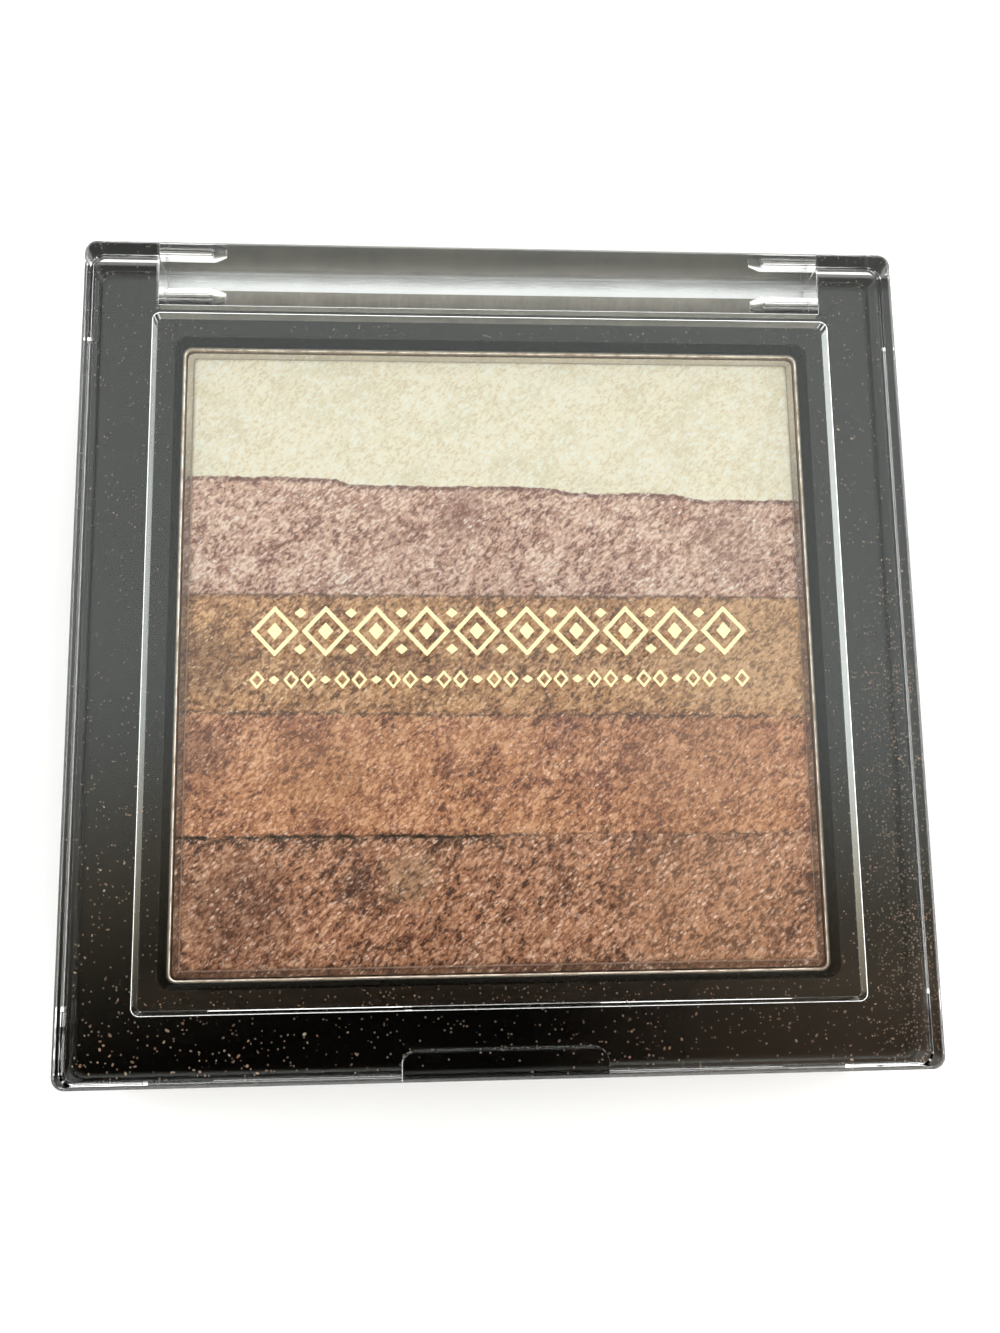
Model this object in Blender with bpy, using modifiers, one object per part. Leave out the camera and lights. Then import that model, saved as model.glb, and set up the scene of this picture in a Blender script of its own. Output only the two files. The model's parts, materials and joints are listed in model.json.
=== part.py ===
"""Square eyeshadow compact: a thick clear lid on two hinge pins over a black base with one pan of five shades.

Metres, +Z up, front towards -Y. The origin is the centre of the case's underside.
"""

import math

import bmesh
import bpy
from mathutils import Matrix, Vector

mm = 0.001

# Pan and the powder pressed into it
pan_width = 50.4 * mm
pan_depth = 50.1 * mm
pan_height = 3.0 * mm
pan_wall = 0.3 * mm
pan_corner = 0.8 * mm
pan_gap = 0.4 * mm
powder_gap = 0.08 * mm
powder_seam = 0.1 * mm
ledge_drop = 0.45 * mm
ledge_width = 0.45 * mm
crown_rise = 0.3 * mm
crown_corner = 0.4 * mm
crown_edge = 0.15 * mm
cream_band = 11.4 * mm
pink_band = 9.1 * mm
gold_band = 9.5 * mm
copper_band = 9.4 * mm
cream_slant = 0.9 * mm

# Heights, stacked from the underside to the lid's top face
cover_recess = 0.5 * mm
cover_thickness = 1.2 * mm
hollow_height = 1.55 * mm
well_floor = 1.2 * mm
pad_thickness = 0.3 * mm
pad_gap = 0.15 * mm
rim_recess = 1.15 * mm
window_gap = 0.6 * mm
window_thickness = 2.2 * mm

# Base
side_border = 5.15 * mm
front_border = 4.9 * mm
plateau_rim = 1.45 * mm
plateau_rise = 2.35 * mm
plateau_corner = 0.35 * mm
plateau_edge = 0.1 * mm
pocket_gap = 0.3 * mm
case_corner = 1.0 * mm
base_wall = 1.6 * mm
deck_thickness = 1.6 * mm
channel_wall = 1.3 * mm
foot_edge = 0.25 * mm
ear_round = 0.65 * mm
cover_gap = 0.25 * mm
post_radius = 1.5 * mm
post_inset = 6.0 * mm
post_gap = 0.3 * mm
label_width = 42.0 * mm
label_depth = 30.0 * mm
label_thickness = 0.15 * mm
label_gap = 0.1 * mm
label_corner = 1.5 * mm

# Lid
seat_gap = 0.3 * mm
lid_edge = 0.4 * mm
pocket_edge = 0.12 * mm
bead_radius = 0.45 * mm
bead_length = 44.0 * mm
bead_drop = 1.1 * mm
groove_clearance = 0.15 * mm
thumb_width = 15.4 * mm
thumb_reach = 1.9 * mm
thumb_height = 1.4 * mm
thumb_corner = 1.0 * mm

# Hinge
slot_wall = 1.4 * mm
leg_gap = 0.3 * mm
leg_thickness = 4.0 * mm
ear_width = 5.0 * mm
ear_gap = 0.3 * mm
heel_height = 0.4 * mm
pin_diameter = 1.5 * mm
pin_clearance = 0.08 * mm
pin_reach = 3.9 * mm
pin_recess = 0.3 * mm
pin_edge = 0.15 * mm
bore_reach = 5.0 * mm
bore_tip_length = 1.0 * mm
bore_tip_radius = 0.4 * mm

# How far a cutter runs past the face it opens, or a joined piece reaches into its neighbour
overrun = 1.0 * mm
overlap = 0.6 * mm

round_sides = 32
corner_steps = 5
edge_steps = 2

# Heights worked out from the stack
cover_top = cover_recess + cover_thickness
floor_under = cover_top + hollow_height
floor_top = floor_under + well_floor
pan_base = floor_top + pad_thickness + 2 * pad_gap
pan_rim = pan_base + pan_height
plateau_top = pan_rim + rim_recess
flange_top = plateau_top - plateau_rise
lid_bottom = flange_top + seat_gap
pocket_top = plateau_top + window_gap
case_height = pocket_top + window_thickness

# Widths and depths worked out from the pan outwards
well_width = pan_width + 2 * pan_gap
well_depth = pan_depth + 2 * pan_gap
plateau_width = well_width + 2 * plateau_rim
plateau_depth = well_depth + 2 * plateau_rim
pocket_width = plateau_width + 2 * pocket_gap
pocket_depth = plateau_depth + 2 * pocket_gap
pocket_corner = plateau_corner + pocket_gap
back_border = slot_wall - pocket_gap + leg_gap + leg_thickness
case_width = pocket_width + 2 * side_border
case_depth = front_border + pocket_depth + back_border
side = case_width / 2
back = case_depth / 2
front = -back
centre_y = front + front_border + pocket_depth / 2

# Hinge places
hinge_y = back - leg_thickness / 2
hinge_z = heel_height + leg_thickness / 2
slot_front = back - leg_thickness - leg_gap
ear_inner = side - ear_width
leg_end = ear_inner - ear_gap
bore_radius = pin_diameter / 2 + pin_clearance


def collection(name):
    made = bpy.data.collections.new(name)
    bpy.context.scene.collection.children.link(made)
    return made


def material(name, colour, roughness, metallic=0.0, transmission=0.0, ior=1.49):
    made = bpy.data.materials.new(name)
    made.use_nodes = True
    shader = made.node_tree.nodes["Principled BSDF"]
    shader.inputs["Base Color"].default_value = (*colour, 1.0)
    shader.inputs["Roughness"].default_value = roughness
    shader.inputs["Metallic"].default_value = metallic
    shader.inputs["Transmission Weight"].default_value = transmission
    shader.inputs["IOR"].default_value = ior
    return made


def add_object(name, bm, place, finish=None):
    """A mesh object from bm; without a finish it is a cutter or a piece joined to another, and isn't rendered."""
    mesh = bpy.data.meshes.new(name)
    bmesh.ops.recalc_face_normals(bm, faces=bm.faces)
    bm.to_mesh(mesh)
    bm.free()
    mesh.shade_smooth()
    mesh.set_sharp_from_angle(angle=math.radians(30))
    made = bpy.data.objects.new(name, mesh)
    made.location = place
    if finish:
        mesh.materials.append(finish)
        parts.objects.link(made)
    else:
        made.hide_render = True
        made.display_type = "WIRE"
        cutters.objects.link(made)
    return made


def upright(edge):
    return abs(edge.verts[0].co.z - edge.verts[1].co.z) > overlap / 10


def round_edges(bm, edges, radius, steps):
    bmesh.ops.bevel(
        bm, geom=edges, offset=radius, segments=steps, profile=0.5, affect="EDGES", material=-1
    )


def block(low, high, corner=0.0, top_edge=0.0, bottom_edge=0.0):
    """A bmesh box centred on the origin, the size of low to high, and its centre."""
    low, high = Vector(low), Vector(high)
    size = high - low
    bm = bmesh.new()
    bmesh.ops.create_cube(bm, size=1.0, matrix=Matrix.Diagonal((*size, 1.0)))
    if corner:
        round_edges(bm, [e for e in bm.edges if upright(e)], corner, corner_steps)
    for height, radius in ((size.z / 2, top_edge), (-size.z / 2, bottom_edge)):
        if radius:
            level = [e for e in bm.edges if all(abs(v.co.z - height) < radius / 10 for v in e.verts)]
            round_edges(bm, level, radius, edge_steps)
    return bm, (low + high) / 2


def box(name, low, high, finish=None, **rounding):
    bm, centre = block(low, high, **rounding)
    return add_object(name, bm, centre, finish)


def rod(name, radius, length, centre, axis="X", finish=None, edge=0.0):
    """A round bar along an axis."""
    bm = bmesh.new()
    bmesh.ops.create_cone(
        bm, cap_ends=True, segments=round_sides, radius1=radius, radius2=radius, depth=length
    )
    if edge:
        rims = [e for e in bm.edges if not upright(e)]
        round_edges(bm, rims, edge, edge_steps)
    if axis == "X":
        bmesh.ops.rotate(bm, verts=bm.verts, matrix=Matrix.Rotation(math.pi / 2, 3, "Y"))
    return add_object(name, bm, centre, finish)


def extruded(name, outline, width, finish=None):
    """A (y, z) outline drawn as a flat curve, filled, and run across the case by width, centred on X = 0."""
    curve = bpy.data.curves.new(name, "CURVE")
    curve.dimensions = "2D"
    curve.fill_mode = "BOTH"
    curve.extrude = width / 2
    spline = curve.splines.new("POLY")
    spline.points.add(len(outline) - 1)
    for point, (y, z) in zip(spline.points, outline):
        point.co = (y, z, 0.0, 1.0)
    spline.use_cyclic_u = True
    drawn = bpy.data.objects.new(name + "_outline", curve)
    bpy.context.scene.collection.objects.link(drawn)
    bpy.context.view_layer.update()
    graph = bpy.context.evaluated_depsgraph_get()
    flat = bpy.data.meshes.new_from_object(drawn.evaluated_get(graph))
    bm = bmesh.new()
    bm.from_mesh(flat)
    bmesh.ops.remove_doubles(bm, verts=bm.verts, dist=1e-6)
    across = Matrix(((0, 0, 1), (1, 0, 0), (0, 1, 0)))
    bmesh.ops.rotate(bm, verts=bm.verts, matrix=across)
    bpy.data.objects.remove(drawn)
    bpy.data.curves.remove(curve)
    bpy.data.meshes.remove(flat)
    return add_object(name, bm, (0, 0, 0), finish)


def arc(centre_y_, centre_z, radius, start, end, steps):
    """Points on an arc in the (y, z) plane, angles in degrees from +Y towards +Z."""
    angles = [math.radians(start + (end - start) * i / steps) for i in range(steps + 1)]
    return [(centre_y_ + radius * math.cos(a), centre_z + radius * math.sin(a)) for a in angles]


def boolean(target, tool, operation):
    modifier = target.modifiers.new(tool.name, "BOOLEAN")
    modifier.operation = operation
    modifier.solver = "EXACT"
    modifier.object = tool


def cut(target, *tools):
    for tool in tools:
        boolean(target, tool, "DIFFERENCE")


def join(target, *tools):
    for tool in tools:
        boolean(target, tool, "UNION")


def make_base(finish):
    """One black moulding: walls, flange, raised plateau with the pan's well, ears."""
    frame = box("base_frame", (-side, front, 0), (side, back, flange_top), finish,
                corner=case_corner, bottom_edge=foot_edge)
    half_x, half_y = plateau_width / 2, plateau_depth / 2
    plateau = box("plateau", (-half_x, centre_y - half_y, floor_under + overlap),
                  (half_x, centre_y + half_y, plateau_top),
                  corner=plateau_corner, top_edge=plateau_edge)
    join(frame, plateau)
    well = box("pan_well", (-well_width / 2, centre_y - well_depth / 2, floor_top),
               (well_width / 2, centre_y + well_depth / 2, plateau_top + overrun),
               corner=pan_corner + pan_gap / 2)
    cut(frame, well)

    # The underside is cored: low under the well's floor, higher in a channel under the flange
    inner_x = side - base_wall
    inner_front = front + base_wall
    inner_back = slot_front - base_wall
    channel_x = well_width / 2 + channel_wall
    channel_front = centre_y - well_depth / 2 - channel_wall
    channel_top = flange_top - deck_thickness
    cut(frame, box("underside_core", (-inner_x, inner_front, -overrun),
                   (inner_x, inner_back, floor_under), corner=case_corner / 2))
    step = floor_under - overlap / 2
    for name, low_x, high_x, far in (
        ("channel_left", -inner_x, -channel_x, inner_back),
        ("channel_right", channel_x, inner_x, inner_back),
        ("channel_front", -inner_x, inner_x, channel_front),
    ):
        cut(frame, box(name, (low_x, inner_front, step), (high_x, far, channel_top)))

    # Hinge slot between the ears, their rounded top-back edge, and the pin holes
    cut(frame, box("hinge_slot", (-ear_inner, slot_front, -overrun),
                   (ear_inner, back + overrun, flange_top + overrun)))
    rounded = arc(back - ear_round, flange_top - ear_round, ear_round, 0, 90, corner_steps)
    spare = [(back - ear_round, flange_top + overrun), (back + overrun, flange_top + overrun),
             (back + overrun, flange_top - ear_round)]
    cut(frame, extruded("ear_rounding", rounded + spare, case_width + 2 * overrun))
    for name, sign in (("pin_hole_left", -1), ("pin_hole_right", 1)):
        length = ear_width + 2 * overrun
        cut(frame, rod(name, bore_radius, length, (sign * (side - ear_width / 2), hinge_y, hinge_z)))

    # Groove for the lid's snap bead, and posts that the cover rests against
    groove_y = centre_y - pocket_depth / 2 + (bead_radius - pocket_gap)
    cut(frame, rod("snap_groove", bead_radius + groove_clearance, bead_length + 2 * bead_radius,
                   (0, groove_y, plateau_top - bead_drop)))
    post_low = cover_top + post_gap
    post_high = floor_under + well_floor / 2
    for name, x, y in (("front_left", -1, -1), ("front_right", 1, -1),
                       ("back_left", -1, 1), ("back_right", 1, 1)):
        place = (x * (well_width / 2 - post_inset), centre_y + y * (well_depth / 2 - post_inset),
                 (post_low + post_high) / 2)
        join(frame, rod("post_" + name, post_radius, post_high - post_low, place, axis="Z"))
    return frame


def make_cover(finish):
    """Flat plate that closes the underside."""
    x = side - base_wall - cover_gap
    return box("bottom_cover", (-x, front + base_wall + cover_gap, cover_recess),
               (x, slot_front - base_wall - cover_gap, cover_top), finish, corner=case_corner / 2)


def make_label(finish):
    top = cover_recess - label_gap
    return box("back_label", (-label_width / 2, -label_depth / 2, top - label_thickness),
               (label_width / 2, label_depth / 2, top), finish, corner=label_corner)


def make_pad(finish):
    """Adhesive sheet that holds the pan in its well."""
    x = pan_width / 2 - pan_corner
    y = pan_depth / 2 - pan_corner
    return box("pan_adhesive", (-x, centre_y - y, floor_top + pad_gap),
               (x, centre_y + y, floor_top + pad_gap + pad_thickness), finish)


def make_pan(finish):
    """Drawn aluminium tray, open at the top."""
    bm, centre = block((-pan_width / 2, centre_y - pan_depth / 2, pan_base),
                       (pan_width / 2, centre_y + pan_depth / 2, pan_rim), corner=pan_corner)
    top = [f for f in bm.faces if f.calc_center_median().z > pan_height * 0.49]
    bmesh.ops.delete(bm, geom=top, context="FACES_ONLY")
    pan = add_object("powder_pan", bm, centre, finish)
    wall = pan.modifiers.new("wall", "SOLIDIFY")
    wall.thickness = pan_wall
    wall.offset = -1.0
    wall.use_even_offset = True
    wall.use_quality_normals = True
    return pan


def make_powder(finishes):
    """Five pressed bands side by side; each has a ledge along the pan and a slightly raised crown."""
    gap = pan_wall + powder_gap
    low_x, high_x = -pan_width / 2 + gap, pan_width / 2 - gap
    low_y, high_y = centre_y - pan_depth / 2 + gap, centre_y + pan_depth / 2 - gap
    low_z = pan_base + gap
    ledge_z = pan_rim - ledge_drop

    inset = ledge_width
    crown = box("powder_crown", (low_x + inset, low_y + inset, low_z + overlap),
                (high_x - inset, high_y - inset, ledge_z + crown_rise),
                corner=crown_corner, top_edge=crown_edge)

    # Seams run across the pan from the back; each is (name, y at the left, y at the right)
    seam = centre_y + pan_depth / 2
    seams = []
    for name, width, slant in (("shade_cream", cream_band, cream_slant), ("shade_pink", pink_band, 0.0),
                               ("shade_gold", gold_band, 0.0), ("shade_copper", copper_band, 0.0)):
        seam -= width
        seams.append((name, seam + slant, seam - slant))
    seams.append(("shade_bronze", low_y - overrun, low_y - overrun))

    last_left = last_right = high_y + overrun
    for name, left, right in seams:
        band = box(name, (low_x, low_y, low_z), (high_x, high_y, ledge_z), finishes[name],
                   corner=pan_corner - pan_wall)
        join(band, crown)
        span, middle = block((low_x - overrun, -1, low_z - overrun), (high_x + overrun, 1, pan_rim + overrun))
        for vert in span.verts:
            near, far = (left, last_left) if vert.co.x < 0 else (right, last_right)
            vert.co.y = near + powder_seam / 2 if vert.co.y < 0 else far - powder_seam / 2
        boolean(band, add_object(name + "_span", span, middle), "INTERSECT")
        last_left, last_right = left, right


def make_lid(finish):
    """Clear slab with a pocket and a thumb notch underneath and one solid leg, turning on the hinge axis."""
    lid = box("clear_lid", (-side, front, lid_bottom), (side, back, case_height), finish,
              corner=case_corner, top_edge=lid_edge)
    half_x, half_y = pocket_width / 2, pocket_depth / 2
    cut(lid, box("lid_pocket", (-half_x, centre_y - half_y, lid_bottom - overrun),
                 (half_x, centre_y + half_y, pocket_top), corner=pocket_corner, top_edge=pocket_edge))
    cut(lid, box("thumb_notch", (-thumb_width / 2, front - overrun - thumb_corner, lid_bottom - overrun),
                 (thumb_width / 2, front + thumb_reach, lid_bottom + thumb_height), corner=thumb_corner))
    heel = arc(hinge_y, hinge_z, leg_thickness / 2, 180, 360, round_sides // 2)
    leg_top = lid_bottom + 2 * overlap
    outline = [(back, leg_top), (back - leg_thickness, leg_top), *heel]
    join(lid, extruded("hinge_leg", outline, 2 * leg_end))
    join(lid, rod("snap_bead", bead_radius, bead_length,
                  (0, centre_y - half_y, plateau_top - bead_drop)))
    straight = bore_reach - bore_tip_length
    for name, sign in (("bore_left", -1), ("bore_right", 1)):
        bm = bmesh.new()
        bmesh.ops.create_cone(bm, cap_ends=True, segments=round_sides, radius1=bore_radius,
                              radius2=bore_radius, depth=straight + overrun)
        tip = [f for f in bm.faces if f.normal.z > 0.9]
        tip_ring = bmesh.ops.extrude_face_region(bm, geom=tip)["geom"]
        bmesh.ops.delete(bm, geom=tip, context="FACES_ONLY")
        tip_verts = [g for g in tip_ring if isinstance(g, bmesh.types.BMVert)]
        shrink = bore_tip_radius / bore_radius
        bmesh.ops.scale(bm, verts=tip_verts, vec=(shrink, shrink, 1.0))
        bmesh.ops.translate(bm, verts=tip_verts, vec=(0, 0, bore_tip_length))
        bmesh.ops.rotate(bm, verts=bm.verts, matrix=Matrix.Rotation(-sign * math.pi / 2, 3, "Y"))
        middle = leg_end - (straight - overrun) / 2
        cut(lid, add_object(name, bm, (sign * middle, hinge_y, hinge_z)))

    axis = bpy.data.objects.new("lid_hinge_axis", None)
    axis.empty_display_size = pin_diameter
    axis.location = (0, hinge_y, hinge_z)
    parts.objects.link(axis)
    lid.parent = axis
    lid.location -= axis.location
    return lid


def make_pins(finish):
    """Two headless steel pins, pressed into the ears and free in the lid's leg."""
    inner, outer = leg_end - pin_reach, side - pin_recess
    for name, sign in (("hinge_pin_left", -1), ("hinge_pin_right", 1)):
        rod(name, pin_diameter / 2, outer - inner, (sign * (inner + outer) / 2, hinge_y, hinge_z),
            finish=finish, edge=pin_edge)


for old in list(bpy.data.objects):
    bpy.data.objects.remove(old)

parts = collection("eyeshadow_palette")
cutters = collection("cutters")

black_plastic = material("black_plastic", (0.012, 0.012, 0.013), 0.15, ior=1.5)
clear_plastic = material("clear_plastic", (0.97, 0.98, 0.97), 0.02, transmission=1.0)
aluminium = material("aluminium", (0.78, 0.72, 0.64), 0.35, metallic=1.0)
steel = material("steel", (0.62, 0.60, 0.57), 0.25, metallic=1.0)
adhesive = material("adhesive", (0.75, 0.74, 0.70), 0.6)
label_film = material("label_film", (0.72, 0.72, 0.73), 0.4)
shades = {
    "shade_cream": material("cream_powder", (0.78, 0.73, 0.55), 0.6),
    "shade_pink": material("pink_powder", (0.47, 0.33, 0.27), 0.6),
    "shade_gold": material("gold_powder", (0.42, 0.27, 0.15), 0.6),
    "shade_copper": material("copper_powder", (0.45, 0.21, 0.11), 0.6),
    "shade_bronze": material("bronze_powder", (0.33, 0.16, 0.10), 0.6),
}

make_base(black_plastic)
make_cover(black_plastic)
make_label(label_film)
make_pad(adhesive)
make_pan(aluminium)
make_powder(shades)
make_lid(clear_plastic)
make_pins(steel)
bpy.context.view_layer.update()
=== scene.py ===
import json
import math
import random

import bmesh
import bpy
from mathutils import Euler, Matrix, Vector, noise


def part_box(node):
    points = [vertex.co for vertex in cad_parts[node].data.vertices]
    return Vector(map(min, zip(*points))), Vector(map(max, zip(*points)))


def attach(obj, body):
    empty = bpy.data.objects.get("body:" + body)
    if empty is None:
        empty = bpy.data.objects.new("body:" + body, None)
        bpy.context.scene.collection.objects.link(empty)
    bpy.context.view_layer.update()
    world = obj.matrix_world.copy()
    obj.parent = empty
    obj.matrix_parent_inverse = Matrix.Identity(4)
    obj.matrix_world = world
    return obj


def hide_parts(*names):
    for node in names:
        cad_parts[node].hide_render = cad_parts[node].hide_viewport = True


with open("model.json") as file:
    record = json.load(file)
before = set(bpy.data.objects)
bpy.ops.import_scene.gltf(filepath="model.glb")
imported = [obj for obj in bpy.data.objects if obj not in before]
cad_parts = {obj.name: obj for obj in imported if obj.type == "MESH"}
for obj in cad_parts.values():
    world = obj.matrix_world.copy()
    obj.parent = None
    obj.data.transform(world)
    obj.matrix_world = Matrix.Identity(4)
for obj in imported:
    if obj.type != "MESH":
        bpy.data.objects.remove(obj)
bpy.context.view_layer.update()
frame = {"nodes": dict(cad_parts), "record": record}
mm = 0.001
scene = bpy.context.scene

# What the fitted pieces share: the corners of the CAD nodes that they stand for, and the hinge line
lidLow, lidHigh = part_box("clear_lid")
panLow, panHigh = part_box("powder_pan")
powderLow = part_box("shade_bronze")[0]
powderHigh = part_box("shade_cream")[1]
caseMiddleY = (panLow.y + panHigh.y) / 2
hinge = next(joint for joint in frame["record"]["behaviour"]["joints"] if joint["name"] == "lid_hinge")
hingeY, hingeZ = hinge["pos_m"][1:]
hair = 0.01 * mm      # two heights closer than this are the same


# Node helpers

def addNode(tree, kind, settings=None, inputs=None):
    node = tree.nodes.new(kind)
    for key, value in (settings or {}).items():
        setattr(node, key, value)
    for key, value in (inputs or {}).items():
        if isinstance(value, bpy.types.NodeSocket):
            tree.links.new(value, node.inputs[key])
        else:
            node.inputs[key].default_value = value
    return node


def maths(tree, operation, a, b=0.0, clamp=False):
    node = addNode(tree, "ShaderNodeMath", {"operation": operation, "use_clamp": clamp}, {0: a, 1: b})
    return node.outputs[0]


def ramp(tree, value, fromLow, fromHigh, toLow=0.0, toHigh=1.0):
    node = addNode(tree, "ShaderNodeMapRange", {"interpolation_type": "SMOOTHSTEP"},
                   {"Value": value, "From Min": fromLow, "From Max": fromHigh,
                    "To Min": toLow, "To Max": toHigh})
    return node.outputs["Result"]


def mixColour(tree, factor, a, b):
    node = addNode(tree, "ShaderNodeMix", {"data_type": "RGBA"}, {0: factor, 6: a, 7: b})
    return node.outputs[2]


def noiseValue(tree, coordinates, size, detail=2.0, roughness=0.5):
    node = addNode(tree, "ShaderNodeTexNoise", None,
                   {"Vector": coordinates, "Scale": 1.0 / size, "Detail": detail, "Roughness": roughness})
    return node.outputs["Fac"]


def turned(tree, coordinates, angle=(0, 0, 0), stretch=(1, 1, 1)):
    node = addNode(tree, "ShaderNodeMapping", None,
                   {"Vector": coordinates, "Rotation": angle, "Scale": stretch})
    return node.outputs[0]


def newGroup(name, inputs, outputs):
    group = bpy.data.node_groups.new(name, "ShaderNodeTree")
    for label, kind, value in inputs:
        socket = group.interface.new_socket(name=label, in_out="INPUT", socket_type="NodeSocket" + kind)
        if value is not None:
            socket.default_value = value
    for label, kind in outputs:
        group.interface.new_socket(name=label, in_out="OUTPUT", socket_type="NodeSocket" + kind)
    return group, addNode(group, "NodeGroupInput").outputs, addNode(group, "NodeGroupOutput").inputs


def useGroup(tree, group, inputs):
    return addNode(tree, "ShaderNodeGroup", {"node_tree": group}, inputs).outputs


def newMaterial(name, values):
    material = bpy.data.materials.new(name)
    material.use_nodes = True
    tree = material.node_tree
    shader = tree.nodes["Principled BSDF"]
    for key, value in values.items():
        shader.inputs[key].default_value = value
    place = addNode(tree, "ShaderNodeTexCoord").outputs["Object"]
    return material, tree, shader, place


def bumpFrom(tree, shader, height, depth, strength):
    bump = addNode(tree, "ShaderNodeBump", None, {"Height": height, "Distance": depth, "Strength": strength})
    tree.links.new(bump.outputs[0], shader.inputs["Normal"])


# Effects that several finishes share

reliefs = {
    # Each layer: fineness against the grain size, squeeze along the slant, detail, lowest and highest noise
    "Grain": (1.0, 0.52, 2.0, 0.37, 0.63),
    "Folds": (0.4, 0.7, 4.0, 0.37, 0.63),
    "Patches": (0.075, 1.0, 3.0, 0.38, 0.62),
}
reliefRoughness = 0.68
reliefBend = 0.5


def makeGrainGroup():
    # Pressed-powder relief: slanting grains, crumpled folds and broad patches, each 0 low to 1 high
    group, given, out = newGroup(
        "powderGrain",
        [("Place", "Vector", None), ("Size", "Float", 0.3 * mm), ("Slant", "Float", -0.75)],
        [(label, "Float") for label in reliefs])
    turn = addNode(group, "ShaderNodeCombineXYZ", None, {"Z": given["Slant"]}).outputs[0]
    laid = addNode(group, "ShaderNodeMapping", None, {"Vector": given["Place"], "Rotation": turn}).outputs[0]
    for label, (fineness, squeeze, detail, low, high) in reliefs.items():
        drawn = turned(group, laid, stretch=(squeeze, 1.0, 1.0))
        texture = addNode(group, "ShaderNodeTexNoise", None,
                          {"Vector": drawn, "Scale": maths(group, "DIVIDE", fineness, given["Size"]),
                           "Detail": detail, "Roughness": reliefRoughness, "Distortion": reliefBend})
        group.links.new(ramp(group, texture.outputs["Fac"], low, high), out[label])
    return group


flakes = {
    "wobbleScale": 1400.0,    # how finely the flakes' edges waver
    "wobble": 0.22 * mm,
    "squeeze": 0.42,
    "edge": 0.52,             # where a flake fades out, against its cell
    "middle": 0.3,
}


def makeFlakeGroup():
    # Shimmer: thin flakes lying aslant, each with its own brightness, over a share of the surface
    group, given, out = newGroup(
        "shimmerFlakes",
        [("Place", "Vector", None), ("Size", "Float", 0.4 * mm), ("Share", "Float", 0.3),
         ("Slant", "Float", -0.7)],
        [("Flake", "Float"), ("Tone", "Float")])
    wobble = addNode(group, "ShaderNodeTexNoise", None,
                     {"Vector": given["Place"], "Scale": flakes["wobbleScale"]})
    shift = addNode(group, "ShaderNodeVectorMath", {"operation": "SCALE"},
                    {0: wobble.outputs["Color"], "Scale": flakes["wobble"]}).outputs[0]
    place = addNode(group, "ShaderNodeVectorMath", {"operation": "ADD"},
                    {0: given["Place"], 1: shift}).outputs[0]
    turn = addNode(group, "ShaderNodeCombineXYZ", None, {"Z": given["Slant"]}).outputs[0]
    laid = addNode(group, "ShaderNodeMapping", None, {"Vector": place, "Rotation": turn}).outputs[0]
    drawn = turned(group, laid, stretch=(flakes["squeeze"], 1.0, 1.0))
    cells = addNode(group, "ShaderNodeTexVoronoi", None,
                    {"Vector": drawn, "Scale": maths(group, "DIVIDE", 1.0, given["Size"])})
    tone = addNode(group, "ShaderNodeSeparateColor", None, {0: cells.outputs["Color"]})
    body = ramp(group, cells.outputs["Distance"], flakes["edge"], flakes["middle"])
    chosen = maths(group, "LESS_THAN", tone.outputs[0], given["Share"])
    group.links.new(maths(group, "MULTIPLY", body, chosen), out["Flake"])
    group.links.new(tone.outputs[1], out["Tone"])
    return group


seamBreaks = {
    "wanderSize": 0.5 * mm,
    "wanderReach": 3.0,
    "gapSize": 1.2 * mm,      # length of the breaks in a seam's dark line
    "gapShade": 0.25,         # how dark the line stays in a break
}


def makeSeamGroup():
    # Where two bands meet: Past runs from 0 in front of the seam to 1 behind it, Line marks a crack along it
    group, given, out = newGroup(
        "powderSeam",
        [("Place", "Vector", None), ("Away", "Float", 0.0), ("Spill", "Float", 0.2 * mm),
         ("Ragged", "Float", 0.2 * mm), ("LineAt", "Float", 0.0), ("LineWidth", "Float", 0.2 * mm)],
        [("Past", "Float"), ("Line", "Float")])
    wander = noiseValue(group, given["Place"], seamBreaks["wanderSize"], 4.0, 0.6)
    wander = maths(group, "SUBTRACT", wander, 0.5)
    reach = maths(group, "MULTIPLY", given["Ragged"], seamBreaks["wanderReach"])
    away = maths(group, "ADD", given["Away"], maths(group, "MULTIPLY", wander, reach))
    group.links.new(ramp(group, maths(group, "DIVIDE", away, given["Spill"]), -1.0, 1.0), out["Past"])
    beside = maths(group, "ABSOLUTE", maths(group, "SUBTRACT", away, given["LineAt"]))
    line = ramp(group, maths(group, "DIVIDE", beside, given["LineWidth"]), 1.0, 0.25)
    breaks = noiseValue(group, given["Place"], seamBreaks["gapSize"], 3.0, 0.6)
    broken = ramp(group, breaks, 0.36, 0.58, seamBreaks["gapShade"], 1.0)
    group.links.new(maths(group, "MULTIPLY", line, broken), out["Line"])
    return group


dustLook = {
    "cloudSize": 6.0 * mm,
    "speckScale": 4200.0,     # specks to a metre
    "speckEdge": 0.42,
    "speckMiddle": 0.22,
    "speckShare": 0.6,
}


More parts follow.
